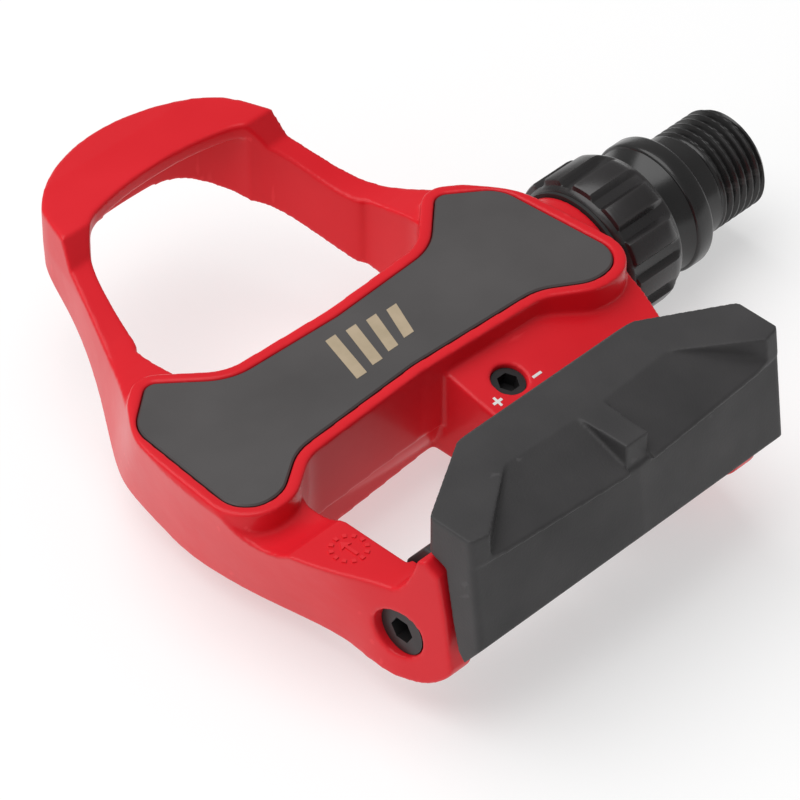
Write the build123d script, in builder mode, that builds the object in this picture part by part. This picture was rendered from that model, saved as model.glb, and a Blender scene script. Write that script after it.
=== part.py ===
"""Left-hand road clipless pedal for a three-bolt cleat, as an assembly of separate pieces.

Units are millimetres, +Z is up, +Y is the riding direction and +X points along the spindle
towards the crank.  The origin is on the spindle axis at the shoulder that seats on the crank.
Outlines are drawn about the pedal's mid-plane, which lies STANCE outboard of that shoulder,
so every drawing plane below starts at MID and x values are counted from the mid-plane.
"""
from build123d import *
from math import atan2, cos, pi, radians, sin
import os

os.makedirs("parts", exist_ok=True)

# ---- driving dimensions ---------------------------------------------------------------
STANCE = 53.0  # crank shoulder to the pedal's mid-plane
MID = -STANCE

THREAD_R = 7.144  # 9/16 inch x 20 crank thread, major radius
THREAD_LENGTH = 12.4
COLLAR_R = 9.2
COLLAR_W = 3.0
NUT_R = 10.0  # lock nut, bottom of its flutes
NUT_RIB = 0.65
NUT_RIBS = 12
NUT_START = 37.4  # lock nut head, from the mid-plane
NUT_END = 46.4

DECK_Z = 9.9  # top of the rim round the wear plate
BOTTOM_Z = -6.0  # underside of the casting
BARREL_R = 8.9  # outside of the spindle barrel
BARREL_X = -27.4  # outboard end of the barrel
BOSS_X = 36.4  # inboard end of the barrel
HOOP_TOP = 15.4
LIP_T = 2.3  # lip of the toe hoop over the cleat's nose
PLATE_T = 1.6
RIM = 1.75  # width of the raised rim round the plate
PLATE_GAP = 0.12

PIVOT_Y = -32.5  # clip hinge
PIVOT_Z = 1.2
PIN_R = 2.5
PIN_HEAD_R = 3.3
PIN_HEAD_L = 2.5
PIN_HEAD_SUNK = 0.1
EAR_OUTER = 27.4  # faces in the ears that the pin's head and circlip sit against
EAR_INNER = 22.9
CLIP_LEAN = 0.118  # how far the rear wall leans out for each mm down
PAD_Z = 16.9  # underside of the pads along the clip's rear edge
PAD_PROUD = 0.7
CLIP_TOP = 20.8
CLIP_HALF = 26.3
KNUCKLE_HALF = 22.5
KNUCKLE_R = 5.0
BUSH_R = 3.5
FREE = 0.4  # gap kept between parts that swing past each other
BAY_X = 9.5  # middle of the spring bay in the clip
BAY_HALF = 10.0

RUNNING = 0.05  # radial running clearance
FIT = 0.01  # radial gap drawn for a press fit
BORE_NUT_R = 7.6  # stepped bore in the barrel
BORE_NEEDLE_R = 7.0
BORE_BALL_R = 6.5
BORE_END_R = 5.7
NEEDLE_X = 9.0  # needle bearing, outboard end
NEEDLE_L = 14.0
NEEDLE_R = 0.7
NEEDLES = 20
SHELL_T = 0.5
JOURNAL_R = 5.0  # spindle under the needle bearing
STUB_R = 3.0  # spindle under the ball bearings
BALL_R = 1.0
BALLS = 8
BALL_PITCH_R = 4.75
BALL_W = 5.0  # width of a ball bearing
BALL_OUTER_X = -19.5  # the two ball bearings, outboard ends
BALL_INNER_X = -13.0

SCREW_X = 9.5  # clip tension screw, square to the sloping ramp
SCREW_Y = -14.6
SCREW_Z = 6.0
RAMP_TILT = 14.0  # degrees that the ramp falls towards the clip
SCREW_R = 2.0
SCREW_HEAD_R = 2.2
SCREW_SUNK = 0.7
NUT_DEPTH = 5.8  # middle of the tension nut below the ramp
TENSION_TRAVEL = 1.0
COIL_R = 3.9  # torsion spring, middle of the wire
WIRE_R = 0.7
COIL_PITCH = 1.45
COIL_TURNS = 3.25
COIL_START = 3.6  # first coil, each side of the middle of the bay
LEG_X = COIL_START + COIL_PITCH * COIL_TURNS + 0.5  # upright leg, where it enters the clip


def mid_plane(z):
    """Horizontal drawing plane at height z."""
    return Plane(origin=(MID, 0, z), x_dir=(1, 0, 0), z_dir=(0, 0, 1))


def spindle_plane():
    """Vertical plane through the spindle: local (x, radius)."""
    return Plane(origin=(MID, 0, 0), x_dir=(1, 0, 0), z_dir=(0, -1, 0))


def side_plane(x):
    """Plane across the spindle: local (y, z), normal +X."""
    return Plane(origin=(MID + x, 0, 0), x_dir=(0, 1, 0), z_dir=(1, 0, 0))


def pivot_plane(x):
    """Side plane centred on the clip hinge."""
    return Plane(origin=(MID + x, PIVOT_Y, PIVOT_Z), x_dir=(0, 1, 0), z_dir=(1, 0, 0))


def ramp_plane(depth):
    """Plane of the sloping ramp, centred on the tension screw, depth below the surface."""
    tilt = radians(RAMP_TILT)
    normal = Vector(0, -sin(tilt), cos(tilt))
    return Plane(
        origin=Vector(MID + SCREW_X, SCREW_Y, SCREW_Z) - normal * depth, x_dir=(1, 0, 0), z_dir=normal
    )


RAIL_TOP = ((15.6, 41.2), (17.3, 37.0), (19.8, 29.9), (24.6, 18.6), (29.4, 11.4), (33.2, 5.0))
RAIL_BOTTOM = ((15.1, 40.8), (16.3, 36.4), (19.4, 30.0), (23.6, 23.2), (27.4, 16.0), (30.0, 4.0))
FLANK_TOP = ((33.2, 5.0), (34.6, -5.0), (34.1, -17.0), (31.2, -26.0), (28.1, -33.0))
FLANK_BOTTOM = ((30.0, 4.0), (30.4, -5.0), (29.2, -14.0), (27.9, -25.0), (28.1, -33.0))
SPINDLE_AXIS = Axis((0, 0, 0), (1, 0, 0))


def save(piece, name):
    """Write one piece as its own STEP file."""
    piece.part.label = name
    export_step(piece.part, f"parts/{name}.step")


# ---- body casting ---------------------------------------------------------------------
def bow_tie(margin):
    """Outline of the wear plate, grown by margin."""
    with BuildSketch() as outline:
        with BuildLine():
            edge = FilletPolyline(
                (0, 5.3), (17.2, 6.1), (24.9, 12.9), (31.4, 8.0), (33.0, -12.3), (26.6, -12.3),
                (20.6, -8.4), (0, -7.4), radius=[9.0, 1.6, 5.0, 4.0, 5.0, 8.0],
            )
            Line(edge @ 1, edge @ 0)
        make_face()
        mirror(about=Plane.YZ)
        if margin:
            offset(amount=margin, kind=Kind.ARC)
    return outline.sketch


def hoop_outline(rail, flank):
    """Outside of the toe hoop, the rails, flanks and ears, seen from above."""
    with BuildSketch() as outline:
        with BuildLine():
            ThreePointArc((0, 48.3), (8.2, 46.6), rail[0])
            Spline(*rail, tangents=[(0.5, -0.85), (0.2, -1)])
            Spline(*flank, tangents=[(0.2, -1), (-0.2, -1)])
            Polyline(flank[-1], (26.4, -40.5), (26.4, -46.0), (0, -46.0), (0, 48.3))
        make_face()
        mirror(about=Plane.YZ)
    return outline.sketch


def toe_window():
    """The opening that the cleat's nose drops into."""
    with BuildSketch() as outline:
        with BuildLine():
            ThreePointArc((0, 37.4), (6.0, 37.0), (11.2, 35.9))
            Spline(
                (11.2, 35.9), (14.0, 34.2), (16.8, 28.8), (19.2, 20.6), (20.4, 13.6),
                tangents=[(1, -0.35), (0.05, -1)],
            )
            Spline((20.4, 13.6), (18.9, 9.6), (13.6, 7.6), tangents=[(0.0, -1), (-1, -0.12)])
            Polyline((13.6, 7.6), (0, 6.9), (0, 37.4))
        make_face()
        mirror(about=Plane.YZ)
    return outline.sketch


def side_elevation():
    """Top and bottom lines of the casting, seen from the side: local (y, z)."""
    with BuildSketch() as outline:
        with BuildLine():
            Polyline((49.5, 9.2), (49.5, 14.2), (44.0, 15.0), (34.9, HOOP_TOP), (32.8, 11.8))
            Spline(
                (32.8, 11.8), (27.6, 9.6), (21.5, 7.8), (14.0, 8.6), (8.0, 9.2),
                tangents=[(-1, -0.42), (-1, 0.1)],
            )
            Polyline((8.0, 9.2), (-13.0, 9.2), (-16.5, 8.0), (-30.8, 8.0))
            Spline(
                (-30.8, 8.0), (-33.2, 9.4), (-34.3, 11.7), (-35.2, 14.2),
                tangents=[(-1, 0), (-0.4, 1)],
            )
            Polyline((-35.2, 14.2), (-36.2, 14.5), (-38.0, 12.8), (-39.0, 6.7), (-39.8, -1.0))
            Spline(
                (-39.8, -1.0), (-38.4, -3.5), (-36.2, -5.1), (-33.0, -5.8), (-26.0, BOTTOM_Z),
                tangents=[(0.1, -1), (1, 0)],
            )
            Line((-26.0, BOTTOM_Z), (4.0, BOTTOM_Z))
            Spline(
                (4.0, BOTTOM_Z), (14.0, -4.6), (26.0, -0.6), (38.0, 4.2), (49.5, 9.2),
                tangents=[(1, 0), (1, 0.4)],
            )
        make_face()
    return outline.sketch


def nose_pocket():
    """Undercut behind the toe hoop's lip, where the cleat's nose hooks in."""
    with BuildSketch() as outline:
        with BuildLine():
            Spline((0, 42.6), (9.6, 40.3), (12.4, 37.0), (13.6, 34.4), tangents=[(1, 0), (0.3, -1)])
            Polyline((13.6, 34.4), (0, 34.4), (0, 42.6))
        make_face()
        mirror(about=Plane.YZ)
    return outline.sketch


def barrel_bore():
    """Half section of the stepped bore: local (x, radius)."""
    with BuildSketch() as section:
        with BuildLine():
            Polyline(
                (BOSS_X + 1, 0), (BOSS_X + 1, BORE_NUT_R), (26.0, BORE_NUT_R), (26.0, BORE_NEEDLE_R),
                (8.0, BORE_NEEDLE_R), (8.0, BORE_BALL_R), (-20.0, BORE_BALL_R),
                (-20.0, BORE_END_R), (-26.0, BORE_END_R), (-26.0, 0), close=True,
            )
        make_face()
    return section.sketch


def flank_block():
    """Block inside the leaning flanks, up to the hoop's top."""
    with BuildPart() as block:
        with BuildSketch(mid_plane(BOTTOM_Z - 0.5)):
            add(hoop_outline(RAIL_BOTTOM, FLANK_BOTTOM))
        with BuildSketch(mid_plane(DECK_Z)):
            add(hoop_outline(RAIL_TOP, FLANK_TOP))
        loft(ruled=True)
        with BuildSketch(mid_plane(DECK_Z)):
            add(hoop_outline(RAIL_TOP, FLANK_TOP))
        extrude(amount=8.0)
    return block.part


def rim_wall(block):
    """The rim round the plate and the wall under it, kept inside the flanks."""
    with BuildPart() as wall:
        with BuildSketch(mid_plane(-1.0)):
            add(bow_tie(RIM))
        extrude(amount=DECK_Z + 1.0)
        add(block, mode=Mode.INTERSECT)
    return wall.part


def make_pedal_body():
    reach = 40.0
    block = flank_block()
    with BuildPart() as pedal_body:
        add(block)
        with BuildSketch(mid_plane(-12.0)):
            add(toe_window())
            with Locations((0, -38.0)):
                Rectangle(2 * EAR_INNER, 22.0)
            with BuildLine():
                Line((-23.6, -30.0), (-23.9, -14.6))
                ThreePointArc((-23.9, -14.6), (-22.4, -10.6), (-18.4, -8.9))
                Polyline((-18.4, -8.9), (3.6, -7.4), (4.2, -30.0), (-23.6, -30.0))
            make_face()
        extrude(amount=40.0, mode=Mode.SUBTRACT)
        with BuildSketch(side_plane(-reach)):
            add(side_elevation())
        extrude(amount=2 * reach, mode=Mode.INTERSECT)
        with BuildSketch(mid_plane(HOOP_TOP - LIP_T)):
            add(nose_pocket())
        extrude(amount=-16.0, mode=Mode.SUBTRACT)
        # the inboard ramp slopes from the deck down to the clip
        with BuildSketch(ramp_plane(0)):
            with Locations((14.0, -4.4)):
                Rectangle(45.0, 27.0)
        extrude(amount=12.0, mode=Mode.SUBTRACT)
        # scoop across the outboard arm, behind the rim
        with BuildSketch(side_plane(-reach)):
            with Locations((-15.2, 13.1)):
                Circle(6.5)
        extrude(amount=reach - 16.0, mode=Mode.SUBTRACT)
        add(rim_wall(block))
        # spindle barrel
        with BuildSketch(side_plane(BARREL_X)):
            Circle(BARREL_R)
        extrude(amount=BOSS_X - BARREL_X)
        # pocket for the plate
        with BuildSketch(mid_plane(DECK_Z - PLATE_T)):
            add(bow_tie(PLATE_GAP))
        extrude(amount=PLATE_T + 1.0, mode=Mode.SUBTRACT)
        # stepped bore for the bearings and the lock nut
        with BuildSketch(spindle_plane()):
            add(barrel_bore())
        revolve(axis=SPINDLE_AXIS, mode=Mode.SUBTRACT)
        # hinge pin bore, with the head's counterbore in the outboard ear
        with BuildSketch(pivot_plane(-reach)):
            Circle(PIN_R + FIT)
        extrude(amount=2 * reach, mode=Mode.SUBTRACT)
        with BuildSketch(pivot_plane(-reach)):
            Circle(PIN_HEAD_R + 0.1)
        extrude(amount=reach - EAR_OUTER + PIN_HEAD_SUNK + PIN_HEAD_L, mode=Mode.SUBTRACT)
        with BuildSketch(pivot_plane(EAR_OUTER)):
            Circle(PIN_R + 1.8)
        extrude(amount=4.0, mode=Mode.SUBTRACT)
        # tension screw hole and the counterbore of its head
        with BuildSketch(ramp_plane(14.0)):
            Circle(SCREW_R + RUNNING)
        extrude(amount=14.0, mode=Mode.SUBTRACT)
        with BuildSketch(ramp_plane(SCREW_SUNK + 1.6)):
            Circle(SCREW_HEAD_R + 0.1)
        extrude(amount=6.0, mode=Mode.SUBTRACT)
        # pocket for the tension nut, open below, and the slot for the spring legs
        with BuildSketch(ramp_plane(NUT_DEPTH - 2.0 - TENSION_TRAVEL)):
            Rectangle(8.4, 6.6)
        extrude(amount=-14.0, mode=Mode.SUBTRACT)
        with BuildSketch(mid_plane(-8.0)):
            with Locations((SCREW_X, -22.0)):
                Rectangle(2 * (COIL_START + WIRE_R + 0.5), 20.0)
        extrude(amount=6.8, mode=Mode.SUBTRACT)
    return pedal_body


def make_wear_plate():
    with BuildPart() as wear_plate:
        with BuildSketch(mid_plane(DECK_Z - PLATE_T)):
            add(bow_tie(0))
        extrude(amount=PLATE_T)
        chamfer(wear_plate.faces().sort_by(Axis.Z)[-1].edges(), 0.2)
    return wear_plate


# ---- rear clip ------------------------------------------------------------------------
def clip_side_view():
    """Section of the clip about the hinge: local (y, z) from the pin."""
    top = CLIP_TOP - PIVOT_Z
    with BuildSketch() as outline:
        with BuildLine():
            Polyline(
                (0, -KNUCKLE_R), (-4.2, -KNUCKLE_R), (-8.4, -0.8), (-16.5, 10.4), (-16.5, top),
                (3.2, top), (3.9, top - 0.7), (3.9, top - 3.2), (-2.2, 12.6),
                (2.6, KNUCKLE_R + 1.0), (KNUCKLE_R, 0),
            )
            RadiusArc((KNUCKLE_R, 0), (0, -KNUCKLE_R), KNUCKLE_R)
        make_face()
    return outline.sketch


def clip_outline(z, inset):
    """Outline of the clip at height z; its rear wall leans out towards the bottom."""
    lean = CLIP_LEAN * (z - CLIP_TOP)
    with BuildSketch() as outline:
        with BuildLine():
            edge = FilletPolyline(
                (0, -28.6), (13.9, -28.6), (CLIP_HALF, -35.9), (CLIP_HALF, lean - 42.3),
                (21.5, lean + inset - 43.2), (0, lean + inset - 44.6), radius=[6.0, 1.2, 0.8, 8.0],
            )
            Line(edge @ 1, edge @ 0)
        make_face()
        mirror(about=Plane.YZ)
    return outline.sketch


def knuckle_section():
    """Section of the hinge knuckle and the web behind it: local (y, z) from the pin."""
    with BuildSketch() as outline:
        with BuildLine():
            Polyline(
                (0, -KNUCKLE_R), (-4.2, -KNUCKLE_R), (-8.0, -1.4), (-10.0, 4.0), (-6.0, 9.0),
                (1.2, 9.0), (4.0, 5.4), (KNUCKLE_R, 0),
            )
            RadiusArc((KNUCKLE_R, 0), (0, -KNUCKLE_R), KNUCKLE_R)
        make_face()
    return outline.sketch


def ear_room():
    """Room for an ear beside the knuckle as the clip swings: local (y, z) from the pin."""
    corner = Vector(-5.7, 12.2)
    reach = 14.4
    lean = atan2(corner.Y, corner.X)
    rim = (reach * cos(lean), reach * sin(lean))
    with BuildSketch() as outline:
        with BuildLine():
            Polyline((-9.1, -9.0), (-9.1, 0), (-8.1, 1.4), (-7.2, 5.5), (corner.X - FREE, corner.Y), rim)
            RadiusArc(rim, (reach, 0), reach)
            Polyline((reach, 0), (reach, -9.0), (-9.1, -9.0))
        make_face()
    return outline.sketch


def facet_cutter(side):
    """Wedge that cuts one sloping facet across the top rear edge; side is -1 or +1."""
    slope = Vector(side * 0.02, -0.4, 1.0)
    with BuildPart() as cutter:
        with BuildSketch(mid_plane(10.0)):
            with BuildLine():
                FilletPolyline(
                    (side * 1.7, -50.0), (side * 2.1, -36.2), (side * 12.8, -35.2),
                    (side * 23.8, -43.0), (side * 22.6, -50.0), radius=[0.8, 0.8, 1.2],
                )
                Line((side * 22.6, -50.0), (side * 1.7, -50.0))
            make_face()
        extrude(amount=14.0)
        cut = Plane(origin=(MID + side * 2.1, -36.4, CLIP_TOP), z_dir=slope)
        split(bisect_by=cut, keep=Keep.TOP)
    return cutter.part


def make_clip_jaw():
    with BuildPart() as clip_jaw:
        # the rear wall stands a little inside the pads along the top
        for low, high, inset in ((-8.0, PAD_Z, PAD_PROUD), (PAD_Z, CLIP_TOP, 0)):
            with BuildSketch(mid_plane(low)):
                add(clip_outline(low, inset))
            with BuildSketch(mid_plane(high)):
                add(clip_outline(high, inset))
            loft(ruled=True)
        with BuildSketch(pivot_plane(-CLIP_HALF)):
            add(clip_side_view())
        extrude(amount=2 * CLIP_HALF, mode=Mode.INTERSECT)
        with BuildSketch(pivot_plane(-KNUCKLE_HALF)):
            add(knuckle_section())
        extrude(amount=2 * KNUCKLE_HALF)
        for side in (-1, 1):
            with BuildSketch(pivot_plane(side * (KNUCKLE_HALF + 6.0))):
                add(ear_room())
            extrude(amount=-side * 6.0, mode=Mode.SUBTRACT)
        # bay for the springs, open to the front and below
        with BuildSketch(pivot_plane(BAY_X - BAY_HALF)):
            with Locations((3.0, -3.0)):
                Rectangle(17.0, 18.0)
        extrude(amount=2 * BAY_HALF, mode=Mode.SUBTRACT)
        # liners' bore through both knuckles
        with BuildSketch(pivot_plane(-CLIP_HALF)):
            Circle(BUSH_R)
        extrude(amount=2 * CLIP_HALF, mode=Mode.SUBTRACT)
        # holes in the web that take the springs' upright legs
        for side in (-1, 1):
            with BuildSketch(mid_plane(PIVOT_Z)):
                with Locations((BAY_X + side * LEG_X, PIVOT_Y - COIL_R)):
                    Circle(WIRE_R + 0.3)
            extrude(amount=12.6, mode=Mode.SUBTRACT)
        for side in (-1, 1):
            add(facet_cutter(side), mode=Mode.SUBTRACT)
        with BuildSketch(mid_plane(PAD_Z)):
            with Locations((0, -46.9)):
                Rectangle(4.0, 6.0)
        extrude(amount=6.0, mode=Mode.SUBTRACT)
    return clip_jaw


def make_clip_bushes():
    """Liners in the two knuckles, running on the hinge pin."""
    with BuildPart() as clip_bushes:
        for start, end in ((-KNUCKLE_HALF, BAY_X - BAY_HALF), (BAY_X + BAY_HALF, KNUCKLE_HALF)):
            with BuildSketch(pivot_plane(start)):
                Circle(BUSH_R - FIT)
                Circle(PIN_R + RUNNING, mode=Mode.SUBTRACT)
            extrude(amount=end - start)
    return clip_bushes


def make_pivot_pin():
    """Headed hinge pin: hex socket in the outboard head, circlip groove inboard."""
    head_x = -EAR_OUTER + PIN_HEAD_SUNK
    groove_x = EAR_OUTER + 0.1
    with BuildPart() as pivot_pin:
        with BuildSketch(pivot_plane(head_x)):
            Circle(PIN_HEAD_R)
        extrude(amount=PIN_HEAD_L)
        with BuildSketch(pivot_plane(head_x)):
            Circle(PIN_R)
        extrude(amount=groove_x + 1.2 - head_x)
        with BuildSketch(pivot_plane(head_x)):
            RegularPolygon(1.5, 6, major_radius=False)
        extrude(amount=2.1, mode=Mode.SUBTRACT)
        with BuildSketch(pivot_plane(groove_x)):
            Circle(PIN_R + 0.5)
            Circle(PIN_R - 0.4, mode=Mode.SUBTRACT)
        extrude(amount=0.5, mode=Mode.SUBTRACT)
    return pivot_pin


def make_pin_circlip():
    with BuildPart() as pin_circlip:
        with BuildSketch(pivot_plane(EAR_OUTER + 0.15)):
            Circle(PIN_R + 1.2)
            Circle(PIN_R - 0.35, mode=Mode.SUBTRACT)
            with Locations((0, 3.2)):
                Rectangle(2.4, 4.0, mode=Mode.SUBTRACT)
        extrude(amount=0.4)
    return pin_circlip


def make_clip_spring_outboard():
    """Torsion spring round the pin: a leg under the tension nut and a leg up into the clip."""
    start = Vector(MID + BAY_X - COIL_START, PIVOT_Y, PIVOT_Z)
    with BuildPart() as clip_spring:
        with BuildLine():
            coil = Helix(
                COIL_PITCH, COIL_PITCH * COIL_TURNS, COIL_R, center=start, direction=(-1, 0, 0)
            )
            nut_leg = Line(coil @ 0 - (coil % 0) * 19.0, coil @ 0)
            Line(coil @ 1, coil @ 1 + (coil % 1) * 11.0)
        with BuildSketch(Plane(origin=nut_leg @ 0, z_dir=nut_leg % 0)):
            Circle(WIRE_R)
        sweep()
    return clip_spring


def make_clip_spring_inboard(outboard):
    """Mirror image of the outboard spring about the middle of the bay."""
    with BuildPart() as clip_spring:
        add(mirror(outboard.part, about=side_plane(BAY_X), mode=Mode.PRIVATE))
    return clip_spring


def make_tension_screw():
    """Hex-socket screw held by its head in the ramp; turning it lowers the nut."""
    head_l = 1.5
    length = 12.0
    with BuildPart() as tension_screw:
        with BuildSketch(ramp_plane(SCREW_SUNK + length)):
            Circle(SCREW_R)
        extrude(amount=length)
        with BuildSketch(ramp_plane(SCREW_SUNK + head_l)):
            Circle(SCREW_HEAD_R)
        extrude(amount=head_l)
        with BuildSketch(ramp_plane(SCREW_SUNK)):
            RegularPolygon(1.25, 6, major_radius=False)
        extrude(amount=-1.9, mode=Mode.SUBTRACT)
    return tension_screw


def make_tension_nut():
    with BuildPart() as tension_nut:
        with BuildSketch(ramp_plane(NUT_DEPTH)):
            RectangleRounded(7.8, 6.0, 0.8)
            Circle(SCREW_R + RUNNING, mode=Mode.SUBTRACT)
        extrude(amount=1.5, both=True)
    return tension_nut


# ---- spindle and its bearings ---------------------------------------------------------
def make_spindle():
    """Spindle with crank thread, collar, journals, and the hex broach at the crank end."""
    collar_back = STANCE - COLLAR_W
    end = STANCE + THREAD_LENGTH
    with BuildPart() as spindle:
        with BuildSketch(spindle_plane()):
            with BuildLine():
                Polyline(
                    (end, 0), (end, THREAD_R - 0.5), (end - 0.5, THREAD_R), (STANCE, THREAD_R),
                    (STANCE, COLLAR_R - 0.5), (STANCE - 0.5, COLLAR_R),
                    (collar_back + 0.4, COLLAR_R), (collar_back, COLLAR_R - 0.4),
                    (NUT_END + 1.0, 7.5), (NUT_END - 5.5, 7.1), (NUT_START, 5.9), (24.0, 5.9),
                    (23.5, JOURNAL_R), (6.0, JOURNAL_R), (-7.5, 4.0),
                    (BALL_INNER_X + BALL_W, 4.0), (BALL_INNER_X + BALL_W, STUB_R),
                    (-24.4, STUB_R), (-24.8, STUB_R - 0.4), (-24.8, 0), close=True,
                )
            make_face()
        revolve(axis=SPINDLE_AXIS)
        with BuildSketch(side_plane(end)):
            RegularPolygon(4.0, 6, major_radius=False)
        extrude(amount=-7.0, mode=Mode.SUBTRACT)
    return spindle


def make_lock_nut():
    """Fluted nut that screws into the barrel and holds the spindle cartridge."""
    length = NUT_END - NUT_START
    with BuildPart() as lock_nut:
        with BuildSketch(spindle_plane()):
            with BuildLine():
                Polyline(
                    (26.4, 6.3), (26.4, BORE_NUT_R - 0.3), (26.8, BORE_NUT_R - FIT),
                    (NUT_START - 0.4, BORE_NUT_R - FIT), (NUT_START - 0.4, NUT_R - 0.5),
                    (NUT_START + 0.6, NUT_R), (NUT_END - 0.6, NUT_R), (NUT_END, NUT_R - 0.6),
                    (NUT_END, 9.2), (NUT_END - 3.2, 9.2), (NUT_END - 3.2, 8.2),
                    (NUT_START + 1.0, 8.2), (NUT_START + 1.0, 6.3), close=True,
                )
            make_face()
        revolve(axis=SPINDLE_AXIS)
        with BuildSketch(side_plane(NUT_START + 0.5)):
            with PolarLocations(NUT_R + (NUT_RIB - 0.4) / 2, NUT_RIBS):
                Rectangle(NUT_RIB + 0.4, 3.3)
        extrude(amount=length - 2.0)
        rib_edges = lock_nut.edges().filter_by(Axis.X).filter_by(
            lambda edge: Vector(0, edge.center().Y, edge.center().Z).length > NUT_R + NUT_RIB - 0.1
        )
        chamfer(rib_edges, 0.25)
    return lock_nut


def ring(x, length, inner_r, outer_r):
    """Plain ring round the spindle."""
    with BuildPart() as plain_ring:
        with BuildSketch(side_plane(x)):
            Circle(outer_r)
            Circle(inner_r, mode=Mode.SUBTRACT)
        extrude(amount=length)
    return plain_ring


def make_seal_ring():
    """Lip seal in the mouth of the lock nut, running on the spindle's neck."""
    face = NUT_END - 0.4
    with BuildPart() as seal_ring:
        with BuildSketch(spindle_plane()):
            with BuildLine():
                Polyline(
                    (face - 2.7, 9.15), (face - 2.7, 7.9), (face - 1.2, 7.6), (face - 1.0, 7.62),
                    (face, 8.3), (face, 9.15), close=True,
                )
            make_face()
        revolve(axis=SPINDLE_AXIS)
    return seal_ring


def make_needle_rollers():
    with BuildPart() as needle_rollers:
        with BuildSketch(side_plane(NEEDLE_X + 0.8)):
            with PolarLocations(JOURNAL_R + RUNNING + NEEDLE_R, NEEDLES):
                Circle(NEEDLE_R)
        extrude(amount=NEEDLE_L - 1.6)
    return needle_rollers


def make_race(x, inner_r, outer_r):
    """Bearing ring with its ball groove; the radii say on which side the groove runs."""
    middle = x + BALL_W / 2
    with BuildPart() as race:
        with BuildSketch(spindle_plane()):
            with Locations((middle, (inner_r + outer_r) / 2)):
                Rectangle(BALL_W, outer_r - inner_r)
            with Locations((middle, BALL_PITCH_R)):
                Circle(BALL_R + RUNNING, mode=Mode.SUBTRACT)
        revolve(axis=SPINDLE_AXIS)
    return race


def make_balls(x):
    middle = x + BALL_W / 2
    with BuildPart() as balls:
        with Locations(side_plane(middle)):
            with PolarLocations(BALL_PITCH_R, BALLS):
                Sphere(BALL_R)
    return balls


def make_ball_cage(x):
    middle = x + BALL_W / 2
    with BuildPart() as cage:
        with BuildSketch(side_plane(middle - 1.4)):
            Circle(5.15)
            Circle(4.35, mode=Mode.SUBTRACT)
        extrude(amount=2.8)
        for index in range(BALLS):
            turn = 2 * pi * index / BALLS
            with BuildSketch(Plane(origin=(MID + middle, 0, 0), z_dir=(0, cos(turn), sin(turn)))):
                Circle(BALL_R + RUNNING)
            extrude(amount=BALL_PITCH_R + 1.5, mode=Mode.SUBTRACT)
    return cage


def make_end_nut():
    with BuildPart() as end_nut:
        with BuildSketch(side_plane(-24.4)):
            RegularPolygon(4.75, 6, major_radius=False)
            Circle(STUB_R + FIT, mode=Mode.SUBTRACT)
        extrude(amount=3.4)
    return end_nut


save(make_pedal_body(), "pedal_body")
save(make_wear_plate(), "wear_plate")
save(make_clip_jaw(), "clip_jaw")
save(make_clip_bushes(), "clip_bushes")
save(make_pivot_pin(), "pivot_pin")
save(make_pin_circlip(), "pin_circlip")
outboard_spring = make_clip_spring_outboard()
save(outboard_spring, "clip_spring_outboard")
save(make_clip_spring_inboard(outboard_spring), "clip_spring_inboard")
save(make_tension_screw(), "tension_screw")
save(make_tension_nut(), "tension_nut")
save(make_spindle(), "spindle")
save(make_lock_nut(), "lock_nut")
save(ring(BOSS_X + 0.05, NUT_START - BOSS_X - 0.5, BORE_NUT_R + 0.05, 9.3), "boss_seal")
save(make_seal_ring(), "spindle_seal")
save(ring(NEEDLE_X, NEEDLE_L, BORE_NEEDLE_R - SHELL_T, BORE_NEEDLE_R - FIT), "needle_shell")
save(make_needle_rollers(), "needle_rollers")
for place, x in (("outboard", BALL_OUTER_X), ("middle", BALL_INNER_X)):
    save(make_race(x, STUB_R + FIT, 4.1), f"bearing_{place}_inner_ring")
    save(make_race(x, 5.4, BORE_BALL_R - FIT), f"bearing_{place}_outer_ring")
    save(make_balls(x), f"bearing_{place}_balls")
    save(make_ball_cage(x), f"bearing_{place}_cage")
SPACER_X = BALL_OUTER_X + BALL_W
save(ring(SPACER_X, BALL_INNER_X - SPACER_X, STUB_R + FIT, 4.0), "bearing_spacer")
save(ring(SPACER_X, BALL_INNER_X - SPACER_X, 5.6, BORE_BALL_R - FIT), "bearing_spacer_ring")
save(ring(-20.9, BALL_OUTER_X + 20.9, STUB_R + FIT, 4.4), "end_washer")
save(make_end_nut(), "end_nut")
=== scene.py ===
"""Looks of a road clipless pedal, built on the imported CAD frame.

Lengths are in millimetres unless said.  X runs along the spindle from the crank shoulder, Y to the toe
hoop, and Z up.
"""
import math

import bmesh
import bpy
from mathutils import Matrix, Vector


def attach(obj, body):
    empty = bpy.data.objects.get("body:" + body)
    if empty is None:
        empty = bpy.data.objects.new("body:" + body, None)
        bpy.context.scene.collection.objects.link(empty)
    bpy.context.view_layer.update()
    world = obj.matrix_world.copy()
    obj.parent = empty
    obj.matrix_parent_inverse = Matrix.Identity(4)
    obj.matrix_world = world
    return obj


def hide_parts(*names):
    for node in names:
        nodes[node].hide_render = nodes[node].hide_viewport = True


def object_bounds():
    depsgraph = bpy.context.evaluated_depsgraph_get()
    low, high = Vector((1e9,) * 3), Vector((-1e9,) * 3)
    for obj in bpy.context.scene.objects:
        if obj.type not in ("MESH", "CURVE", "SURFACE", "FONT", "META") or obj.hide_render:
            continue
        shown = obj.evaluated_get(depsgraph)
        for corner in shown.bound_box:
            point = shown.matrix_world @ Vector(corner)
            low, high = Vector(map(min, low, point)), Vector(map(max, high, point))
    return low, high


MM = 0.001
MID = -53.0  # mid-plane of the pedal, along the spindle
DECK = 9.9  # top of the wear plate

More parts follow.
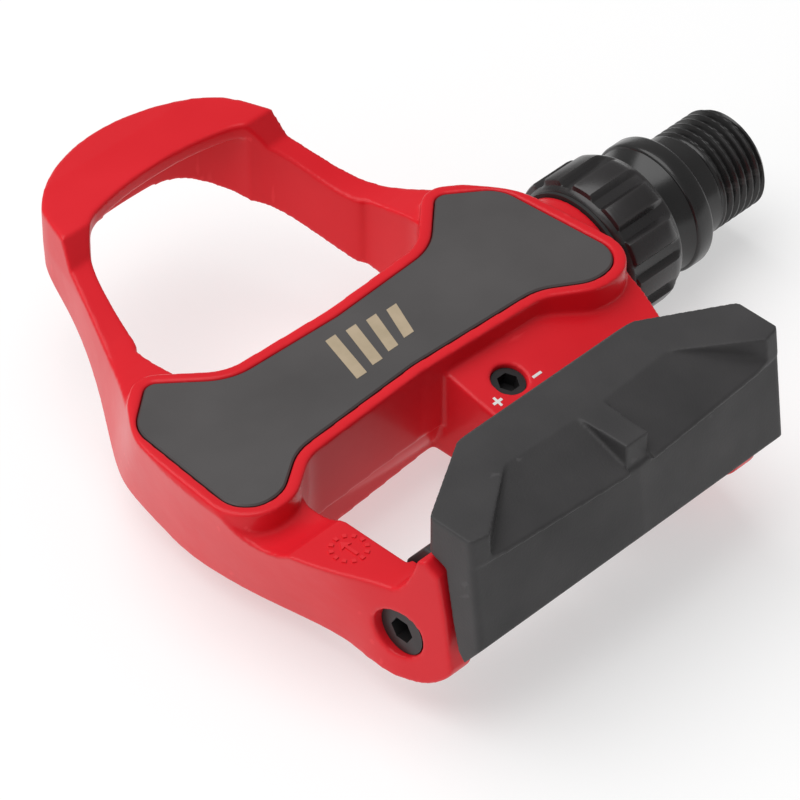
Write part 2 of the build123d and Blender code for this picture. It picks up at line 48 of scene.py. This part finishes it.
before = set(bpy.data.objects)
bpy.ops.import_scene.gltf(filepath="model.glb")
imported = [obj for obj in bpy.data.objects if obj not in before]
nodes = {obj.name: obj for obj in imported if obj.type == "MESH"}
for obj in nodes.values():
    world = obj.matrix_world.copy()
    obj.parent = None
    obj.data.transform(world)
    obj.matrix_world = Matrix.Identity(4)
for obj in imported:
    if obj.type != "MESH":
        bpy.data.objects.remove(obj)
cad_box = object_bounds()
scene = bpy.context.scene


# ---- materials ------------------------------------------------------------------------
COLOUR_STOPS = (0.3, 0.7)  # noise values of the dark and the light colour
HIGHLIGHT_WEAR_FROM, HIGHLIGHT_WEAR_TO = 0.52, 0.62  # pointiness where the painted edge highlight, with slight wear, starts to show, and where it is full
HIGHLIGHT_WEAR_SHARE = 0.6  # most of the lighter edge colour (painted highlight, with slight wear) that is mixed in
GLOSS_SPREAD = 0.08  # roughness drifts this much either side of its value
GLOSS_SCALE = 2.5  # gloss patches are this much finer than colour patches
COAT_ROUGHNESS = 0.12


def finish(name, dark, light, rough, patch, grain, bump, depth, metal=0.0, coat=0.0, edge=None,
           shine=0.5):
    """Procedural finish: drifting colour, broken gloss, fine relief and, given a colour, painted edge
    highlight with slight wear.
    """
    material = bpy.data.materials.new(name)
    material.use_nodes = True
    tree = material.node_tree
    link = tree.links.new
    shader = tree.nodes["Principled BSDF"]
    shader.inputs["Metallic"].default_value = metal
    shader.inputs["Specular IOR Level"].default_value = shine
    shader.inputs["Coat Weight"].default_value = coat
    shader.inputs["Coat Roughness"].default_value = COAT_ROUGHNESS
    coordinates = tree.nodes.new("ShaderNodeTexCoord")

    def noise(scale, detail):
        texture = tree.nodes.new("ShaderNodeTexNoise")
        texture.inputs["Scale"].default_value = scale
        texture.inputs["Detail"].default_value = detail
        link(coordinates.outputs["Object"], texture.inputs["Vector"])
        return texture.outputs["Fac"]

    drift = tree.nodes.new("ShaderNodeValToRGB")
    for stop, position, shade in zip(drift.color_ramp.elements, COLOUR_STOPS, (dark, light)):
        stop.position = position
        stop.color = (*shade, 1)
    link(noise(patch, 3.0), drift.inputs["Fac"])
    colour = drift.outputs["Color"]
    # a given edge colour is a lighter tone mixed in on convex edges: a painted highlight, with slight
    # wear
    if edge:
        geometry = tree.nodes.new("ShaderNodeNewGeometry")
        edge_highlight_wear = tree.nodes.new("ShaderNodeMapRange")
        edge_highlight_wear.inputs["From Min"].default_value = HIGHLIGHT_WEAR_FROM
        edge_highlight_wear.inputs["From Max"].default_value = HIGHLIGHT_WEAR_TO
        edge_highlight_wear.inputs["To Max"].default_value = HIGHLIGHT_WEAR_SHARE
        link(geometry.outputs["Pointiness"], edge_highlight_wear.inputs["Value"])
        mix = tree.nodes.new("ShaderNodeMix")
        mix.data_type = "RGBA"
        mix.inputs["B"].default_value = (*edge, 1)
        link(edge_highlight_wear.outputs["Result"], mix.inputs["Factor"])
        link(colour, mix.inputs["A"])
        colour = mix.outputs["Result"]
    link(colour, shader.inputs["Base Color"])

    gloss = tree.nodes.new("ShaderNodeMapRange")
    gloss.inputs["To Min"].default_value = rough - GLOSS_SPREAD
    gloss.inputs["To Max"].default_value = rough + GLOSS_SPREAD
    link(noise(patch * GLOSS_SCALE, 4.0), gloss.inputs["Value"])
    link(gloss.outputs["Result"], shader.inputs["Roughness"])

    relief = tree.nodes.new("ShaderNodeBump")
    relief.inputs["Strength"].default_value = bump
    relief.inputs["Distance"].default_value = depth * MM
    link(noise(grain, 2.0), relief.inputs["Height"])
    link(relief.outputs["Normal"], shader.inputs["Normal"])
    return material


# the lighter edge colours given below paint a highlight along convex edges, with slight wear
red = finish(
    "red_paint_gloss", (0.66, 0.010, 0.018), (0.74, 0.016, 0.026), 0.32, patch=45.0, grain=700.0,
    bump=0.25, depth=0.05, coat=0.12, edge=(0.80, 0.035, 0.045), shine=0.16)
satin = finish(
    "plate_satin", (0.058, 0.054, 0.054), (0.076, 0.071, 0.071), 0.42, patch=70.0, grain=2600.0,
    bump=0.25, depth=0.02)
composite = finish(
    "composite_black", (0.036, 0.035, 0.036), (0.052, 0.050, 0.051), 0.5, patch=90.0, grain=3200.0,
    bump=0.6, depth=0.04, edge=(0.075, 0.072, 0.074), shine=0.25)
nut_black = finish(
    "nut_anodised", (0.012, 0.011, 0.011), (0.022, 0.020, 0.021), 0.27, patch=120.0, grain=2400.0,
    bump=0.3, depth=0.02, edge=(0.060, 0.056, 0.056))
spindle_black = finish(
    "spindle_black_oxide", (0.008, 0.008, 0.008), (0.016, 0.015, 0.015), 0.24, patch=110.0,
    grain=2000.0, bump=0.2, depth=0.015, edge=(0.055, 0.053, 0.052))
steel = finish(
    "steel_bright", (0.42, 0.42, 0.43), (0.56, 0.56, 0.57), 0.24, patch=150.0, grain=2500.0,
    bump=0.12, depth=0.01, metal=1.0)
spring = finish(
    "spring_steel", (0.10, 0.10, 0.105), (0.17, 0.165, 0.165), 0.32, patch=200.0, grain=2500.0,
    bump=0.2, depth=0.01, metal=0.9)
fastener = finish(
    "fastener_black", (0.018, 0.017, 0.018), (0.034, 0.032, 0.033), 0.38, patch=200.0,
    grain=2500.0, bump=0.2, depth=0.01, metal=0.4)
rubber = finish(
    "seal_rubber_matt", (0.014, 0.014, 0.014), (0.024, 0.024, 0.024), 0.68, patch=200.0,
    grain=3000.0, bump=0.3, depth=0.02)
polymer = finish(
    "bush_polymer_dark", (0.05, 0.05, 0.052), (0.075, 0.074, 0.075), 0.5, patch=180.0,
    grain=3000.0, bump=0.2, depth=0.01)
brass = finish(
    "cage_brass", (0.42, 0.27, 0.08), (0.56, 0.37, 0.13), 0.3, patch=200.0, grain=2500.0,
    bump=0.15, depth=0.01, metal=1.0)
gold = finish(
    "mark_gold", (0.40, 0.32, 0.21), (0.48, 0.38, 0.26), 0.45, patch=300.0, grain=3500.0,
    bump=0.3, depth=0.01)
white = finish(
    "mark_white", (0.72, 0.72, 0.70), (0.84, 0.84, 0.82), 0.5, patch=300.0, grain=3500.0,
    bump=0.3, depth=0.01)

# CAD nodes that aren't bright steel; the ones replaced below are hidden
NODE_FINISH = {
    "wear_plate": satin, "pivot_pin": fastener, "pin_circlip": fastener,
    "tension_screw": fastener, "tension_nut": fastener, "end_nut": fastener,
    "clip_spring_outboard": spring, "clip_spring_inboard": spring,
    "boss_seal": rubber, "spindle_seal": rubber, "clip_bushes": polymer,
    "bearing_middle_cage": brass, "bearing_outboard_cage": brass,
}
for node_name, node in nodes.items():
    node.data.materials.clear()
    node.data.materials.append(NODE_FINISH.get(node_name, steel))


# ---- meshes ---------------------------------------------------------------------------
SHARP_ANGLE = math.radians(32)  # turned faces that meet at more than this keep a crisp edge


def place(name, mesh, body, material):
    """Make a piece of a finished mesh, riding on a CAD body."""
    piece = bpy.data.objects.new(name, mesh)
    scene.collection.objects.link(piece)
    mesh.materials.clear()
    mesh.materials.append(material)
    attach(piece, body)
    return piece


def shade_smooth(mesh):
    for face in mesh.polygons:
        face.use_smooth = True


def bridge(bm, first, second):
    """Quads between two loops of as many vertices."""
    for k in range(len(first)):
        j = (k + 1) % len(first)
        bm.faces.new((first[k], first[j], second[j], second[k]))


def mesh_from(name, bm):
    bmesh.ops.recalc_face_normals(bm, faces=bm.faces)
    mesh = bpy.data.meshes.new(name)
    bm.to_mesh(mesh)
    bm.free()
    return mesh


def soften(node_name, name, voxel, rounds, kept):
    """Dense skin over a CAD node with its edges rounded off as a casting's are."""
    source = bpy.data.objects.new("source", nodes[node_name].data.copy())
    scene.collection.objects.link(source)
    skin = source.modifiers.new("skin", "REMESH")
    skin.mode = "VOXEL"
    skin.voxel_size = voxel * MM
    rounding = source.modifiers.new("rounding", "SMOOTH")
    rounding.factor = 0.5
    rounding.iterations = rounds
    thinning = source.modifiers.new("thinning", "DECIMATE")
    thinning.ratio = kept
    bpy.context.view_layer.update()
    evaluated = source.evaluated_get(bpy.context.evaluated_depsgraph_get())
    mesh = bpy.data.meshes.new_from_object(evaluated)
    mesh.name = name
    bpy.data.objects.remove(source)
    shade_smooth(mesh)
    return mesh


def turned(name, rings, sides, hollow=False):
    """Mesh turned about the spindle axis from rings of (x, radius by angle).

    A hollow one closes from its last ring to its first, a solid one with a cap at each end.
    """
    bm = bmesh.new()
    angles = [2 * math.pi * k / sides for k in range(sides)]
    loops = [
        [bm.verts.new((x * MM, radius(a) * math.cos(a) * MM, radius(a) * math.sin(a) * MM))
         for a in angles]
        for x, radius in rings
    ]
    for first, second in zip(loops, loops[1:]):
        bridge(bm, first, second)
    if hollow:
        bridge(bm, loops[-1], loops[0])
    else:
        bm.faces.new(loops[0])
        bm.faces.new(loops[-1][::-1])
    mesh = mesh_from(name, bm)
    shade_smooth(mesh)
    mesh.set_sharp_from_angle(angle=SHARP_ANGLE)
    return mesh


def plain(radius):
    """Round ring, for turned()."""
    return lambda angle: radius


def prisms(name, outlines, surface, sunk=0.02, proud=0.03):
    """Flat-topped marks over outlines of (x, y) from the mid-plane, through the surface they lie on."""
    bm = bmesh.new()
    for outline in outlines:
        low, high = (
            [bm.verts.new(((MID + x) * MM, y * MM, (surface(x, y) + lift) * MM)) for x, y in outline]
            for lift in (-sunk, proud)
        )
        bm.faces.new(high)
        bridge(bm, low, high)
        bm.faces.new(low[::-1])
    return mesh_from(name, bm)


# ---- body and clip: skins over the CAD, with cast edges --------------------------------
VOXEL = 0.2
CASTING_ROUNDS, CASTING_KEPT = 22, 0.3  # smoothing passes, and the share of faces kept
MOULDING_ROUNDS, MOULDING_KEPT = 6, 0.4

casting = place(
    "body_casting", soften("pedal_body", "body_casting", VOXEL, CASTING_ROUNDS, CASTING_KEPT),
    "pedal", red)
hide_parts("pedal_body")
jaw = place(
    "clip_moulding", soften("clip_jaw", "clip_moulding", VOXEL, MOULDING_ROUNDS, MOULDING_KEPT),
    "clip", composite)
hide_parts("clip_jaw")

# ---- lock nut with its ribs -------------------------------------------------------------
NUT_RIBS = 12
NUT_FLUTE = 0.25  # how far a flute goes in from the head's radius, for a rib of size 1
NUT_CREST = 0.62  # how far a rib stands out from it
NUT_FLANK = 1.5  # steepness of a rib's sides
NUT_RIB_SHARE = 0.35  # above 0, ribs are wider than flutes
NUT_SIDES = 288


def ribbed(radius, size):
    """Ring with flat-topped ribs and hollow flutes between them."""
    def at(angle):
        rise = 0.5 + NUT_FLANK * (math.cos(NUT_RIBS * angle) + NUT_RIB_SHARE)
        rise = min(1.0, max(0.0, rise))
        return radius + size * ((NUT_FLUTE + NUT_CREST) * rise - NUT_FLUTE)

    return at


nut_rings = [
    (-26.6, plain(7.3)), (-26.3, plain(7.59)), (-16.0, plain(7.59)),  # shank, in the barrel
    (-16.0, plain(9.3)), (-15.8, plain(9.6)), (-15.35, plain(9.85)),  # back of the head
    (-15.2, ribbed(10.0, 0.75)), (-14.95, ribbed(10.0, 1.0)),  # ribs
    (-8.9, ribbed(10.0, 1.0)), (-8.2, ribbed(10.0, 0.85)), (-7.4, ribbed(9.95, 0.3)),
    (-7.1, plain(9.9)), (-6.75, plain(9.75)), (-6.6, plain(9.5)),  # front of the head
    (-6.6, plain(9.2)), (-9.8, plain(9.2)), (-9.8, plain(8.2)), (-14.6, plain(8.2)),  # mouth
    (-14.6, plain(6.3)), (-26.6, plain(6.3)),  # bore
]
nut = place(
    "lock_nut_fluted", turned("lock_nut_fluted", nut_rings, NUT_SIDES, hollow=True),
    "pedal", nut_black)
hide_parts("lock_nut")

# ---- spindle with its helical left-hand thread and hex broach ---------------------------
THREAD_R = 7.144  # over the crests, 9/16 inch across
THREAD_DEPTH = 0.72
THREAD_PITCH = 1.27  # 20 to the inch
THREAD_START = 3.6  # from the crank shoulder
THREAD_END = 12.4
THREAD_STEPS = 200  # rings along the thread
GROOVE_LOW, GROOVE_SLOPE = 0.12, 0.74  # flat bottom and sloping part, of half a pitch
SPINDLE_SIDES = 144
SOCKET_APOTHEM = 4.0  # 8 mm key
SOCKET_DEPTH = 7.0


def threaded(x):
    """Radius round a ring of the thread; the groove fades in at the shank and out at the tip."""
    fade = min(1.0, max(0.0, x - THREAD_START), max(0.0, (THREAD_END + 0.3 - x) / 0.5))

    def at(angle):
        phase = (x / THREAD_PITCH + angle / (2 * math.pi)) % 1.0
        tooth = min(1.0, max(0.0, (abs(phase - 0.5) * 2.0 - GROOVE_LOW) / GROOVE_SLOPE))
        return THREAD_R - THREAD_DEPTH * fade * (1.0 - tooth)

    return at


def hexagon(angle):
    """Radius round the hex broach."""
    return SOCKET_APOTHEM / math.cos((angle + math.pi / 6) % (math.pi / 3) - math.pi / 6)


spindle_rings = [
    (-77.8, plain(2.6)), (-77.4, plain(3.0)), (-61.0, plain(3.0)), (-61.0, plain(4.0)),
    (-60.5, plain(4.0)), (-47.0, plain(5.0)), (-29.5, plain(5.0)), (-29.0, plain(5.9)),
    (-15.6, plain(5.9)), (-12.1, plain(7.1)), (-5.6, plain(7.5)),  # inside, and out of the nut
    (-3.0, plain(8.8)), (-2.92, plain(8.97)), (-2.75, plain(9.12)), (-2.5, plain(9.2)),  # collar
    (-1.75, plain(9.2)), (-0.55, plain(9.2)), (-0.28, plain(9.12)), (-0.08, plain(8.95)),
    (0.0, plain(8.7)), (0.0, plain(7.5)), (0.15, plain(7.25)), (0.4, plain(7.1)),
    (1.2, plain(7.1)), (THREAD_START - 0.4, plain(7.1)),  # shank
]
THREAD_RUN = THREAD_END - 0.5 - THREAD_START
for step in range(THREAD_STEPS + 1):
    thread_x = THREAD_START + THREAD_RUN * step / THREAD_STEPS
    spindle_rings.append((thread_x, threaded(thread_x)))
spindle_rings += [
    (THREAD_END - 0.2, plain(THREAD_R - 0.45)), (THREAD_END, plain(THREAD_R - 0.75)),
    (THREAD_END, hexagon), (THREAD_END - SOCKET_DEPTH, hexagon),
]
spindle = place(
    "spindle_threaded", turned("spindle_threaded", spindle_rings, SPINDLE_SIDES),
    "axle", spindle_black)
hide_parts("spindle")


# ---- four slanted bars on the wear plate ------------------------------------------------
BARS = 4
BAR_FIRST = (-6.6, -4.6)  # lower corner of the first bar
BAR_STEP = (3.1, 0.4)  # from one bar's lower corner to the next
BAR_WIDTH = 1.7
BAR_HEIGHT, BAR_SHRINK = 7.6, 0.8  # of the first bar, and how much less each next one is
BAR_SLANT = 2.2


def slanted_bar(x, y, height):
    return [(x, y), (x + BAR_WIDTH, y), (x + BAR_WIDTH + BAR_SLANT, y + height),
            (x + BAR_SLANT, y + height)]


stripes = [
    slanted_bar(BAR_FIRST[0] + BAR_STEP[0] * k, BAR_FIRST[1] + BAR_STEP[1] * k,
                BAR_HEIGHT - BAR_SHRINK * k)
    for k in range(BARS)
]
place("plate_stripes", prisms("plate_stripes", stripes, lambda x, y: DECK), "pedal", gold)

# ---- plus and minus on the ramp, beside the tension screw -------------------------------
RAMP_Y, RAMP_Z = -14.6, 6.0  # a point on the ramp
RAMP_SLOPE = math.tan(math.radians(14.0))
PLUS_X, MINUS_X, SIGN_Y = 5.8, 12.7, -16.2
SIGN_LENGTH, SIGN_WIDTH = 1.5, 0.36
PLUS_ARM = 0.54  # of the plus, above and below its long bar


def ramp_height(x, y):
    return RAMP_Z + RAMP_SLOPE * (y - RAMP_Y)


def rectangle(x, y, width, height):
    return [(x - width / 2, y - height / 2), (x + width / 2, y - height / 2),
            (x + width / 2, y + height / 2), (x - width / 2, y + height / 2)]


arm_offset = (SIGN_WIDTH + PLUS_ARM) / 2
signs = [
    rectangle(MINUS_X, SIGN_Y, SIGN_LENGTH, SIGN_WIDTH),
    rectangle(PLUS_X, SIGN_Y, SIGN_LENGTH, SIGN_WIDTH),
    rectangle(PLUS_X, SIGN_Y + arm_offset, SIGN_WIDTH, PLUS_ARM),
    rectangle(PLUS_X, SIGN_Y - arm_offset, SIGN_WIDTH, PLUS_ARM),
]
place("tension_signs", prisms("tension_signs", signs, ramp_height), "pedal", white)

# ---- raised dial on the outboard arm, with an arrow -------------------------------------
DIAL = Vector((-26.9, -23.5))
DIAL_BASE, DIAL_RISE = 7.9, 0.26
TICKS = 12
TICK_FROM, TICK_TO = 1.9, 2.45  # radius of a tick's two ends, and half its width there
TICK_FROM_HALF, TICK_TO_HALF = 0.22, 0.28
ARROW = ((-0.22, -1.4), (0.22, -1.4), (0.22, 0.5), (0.8, 0.4), (0, 1.5), (-0.8, 0.4), (-0.22, 0.5))

dial = []
for k in range(TICKS):
    turn = 2 * math.pi * k / TICKS
    out = Vector((math.cos(turn), math.sin(turn)))
    side = Vector((-math.sin(turn), math.cos(turn)))
    dial.append([
        (DIAL + out * TICK_FROM - side * TICK_FROM_HALF), (DIAL + out * TICK_TO - side * TICK_TO_HALF),
        (DIAL + out * TICK_TO + side * TICK_TO_HALF), (DIAL + out * TICK_FROM + side * TICK_FROM_HALF),
    ])
dial.append([DIAL + Vector(corner) for corner in ARROW])
place("casting_dial", prisms("casting_dial", dial, lambda x, y: DIAL_BASE, 0.0, DIAL_RISE),
      "pedal", red)

# ---- camera -----------------------------------------------------------------------------
CAMERA_AZIMUTH, CAMERA_HEIGHT = math.radians(-45.479), math.radians(41.735)
CAMERA_DISTANCE = 666.9
CAMERA_RIGHT, CAMERA_UP = 3.821, -0.424  # sideways from the line through the pedal's middle
FOCAL_LENGTH = 245.25

level = math.cos(CAMERA_HEIGHT)
back = Vector((math.sin(CAMERA_AZIMUTH) * level, -math.cos(CAMERA_AZIMUTH) * level,
               math.sin(CAMERA_HEIGHT)))
right = Vector((math.cos(CAMERA_AZIMUTH), math.sin(CAMERA_AZIMUTH), 0))
up = back.cross(right)
eye = Vector((MID, 0, 0)) + CAMERA_DISTANCE * back + CAMERA_RIGHT * right + CAMERA_UP * up
lens = bpy.data.cameras.new("camera")
lens.lens = FOCAL_LENGTH
lens.sensor_width = 36
lens.clip_start = 0.01
camera = bpy.data.objects.new("camera", lens)
camera.matrix_world = Matrix.Translation(eye * MM) @ Matrix((right, up, back)).transposed().to_4x4()
scene.collection.objects.link(camera)
scene.camera = camera

# ---- floor, world and lamps, in metres and watts ----------------------------------------
FLOOR_HALF = 1.6
FLOOR_GAP = 0.0002  # below the lowest point of the pedal
FLOOR_GLOW = 0.5
WORLD_STRENGTH = 0.34
PEDAL_MIDDLE = (-0.053, 0.0, 0.0)

bm = bmesh.new()
bmesh.ops.create_grid(bm, x_segments=8, y_segments=8, size=FLOOR_HALF)
floor_mesh = bpy.data.meshes.new("floor")
bm.to_mesh(floor_mesh)
bm.free()
floor = bpy.data.objects.new("floor", floor_mesh)
floor.location = (PEDAL_MIDDLE[0], 0, cad_box[0][2] - FLOOR_GAP)
scene.collection.objects.link(floor)
pale = finish("floor_pale", (0.50, 0.50, 0.50), (0.51, 0.51, 0.51), 0.9, patch=3.0, grain=60.0,
              bump=0.02, depth=0.03)
pale_shader = pale.node_tree.nodes["Principled BSDF"]
pale_shader.inputs["Emission Color"].default_value = (1, 1, 1, 1)
pale_shader.inputs["Emission Strength"].default_value = FLOOR_GLOW
floor_mesh.materials.append(pale)

world = bpy.data.worlds.new("studio")
scene.world = world
world.use_nodes = True
background = world.node_tree.nodes["Background"]
background.inputs["Color"].default_value = (1.0, 1.0, 1.0, 1)
background.inputs["Strength"].default_value = WORLD_STRENGTH


def lamp(name, where, size, power):
    """Round soft lamp aimed at the pedal."""
    data = bpy.data.lights.new(name, "AREA")
    data.shape = "DISK"
    data.size = size
    data.energy = power
    light = bpy.data.objects.new(name, data)
    light.location = where
    aim = Vector(PEDAL_MIDDLE) - Vector(where)
    light.rotation_euler = aim.to_track_quat("-Z", "Y").to_euler()
    scene.collection.objects.link(light)


lamp("overhead", (-0.25, 0.25, 0.90), size=1.2, power=8.5)
lamp("left_fill", (-0.90, -0.10, 0.35), size=0.7, power=1.0)

scene.view_settings.view_transform = "Standard"
scene.view_settings.look = "None"
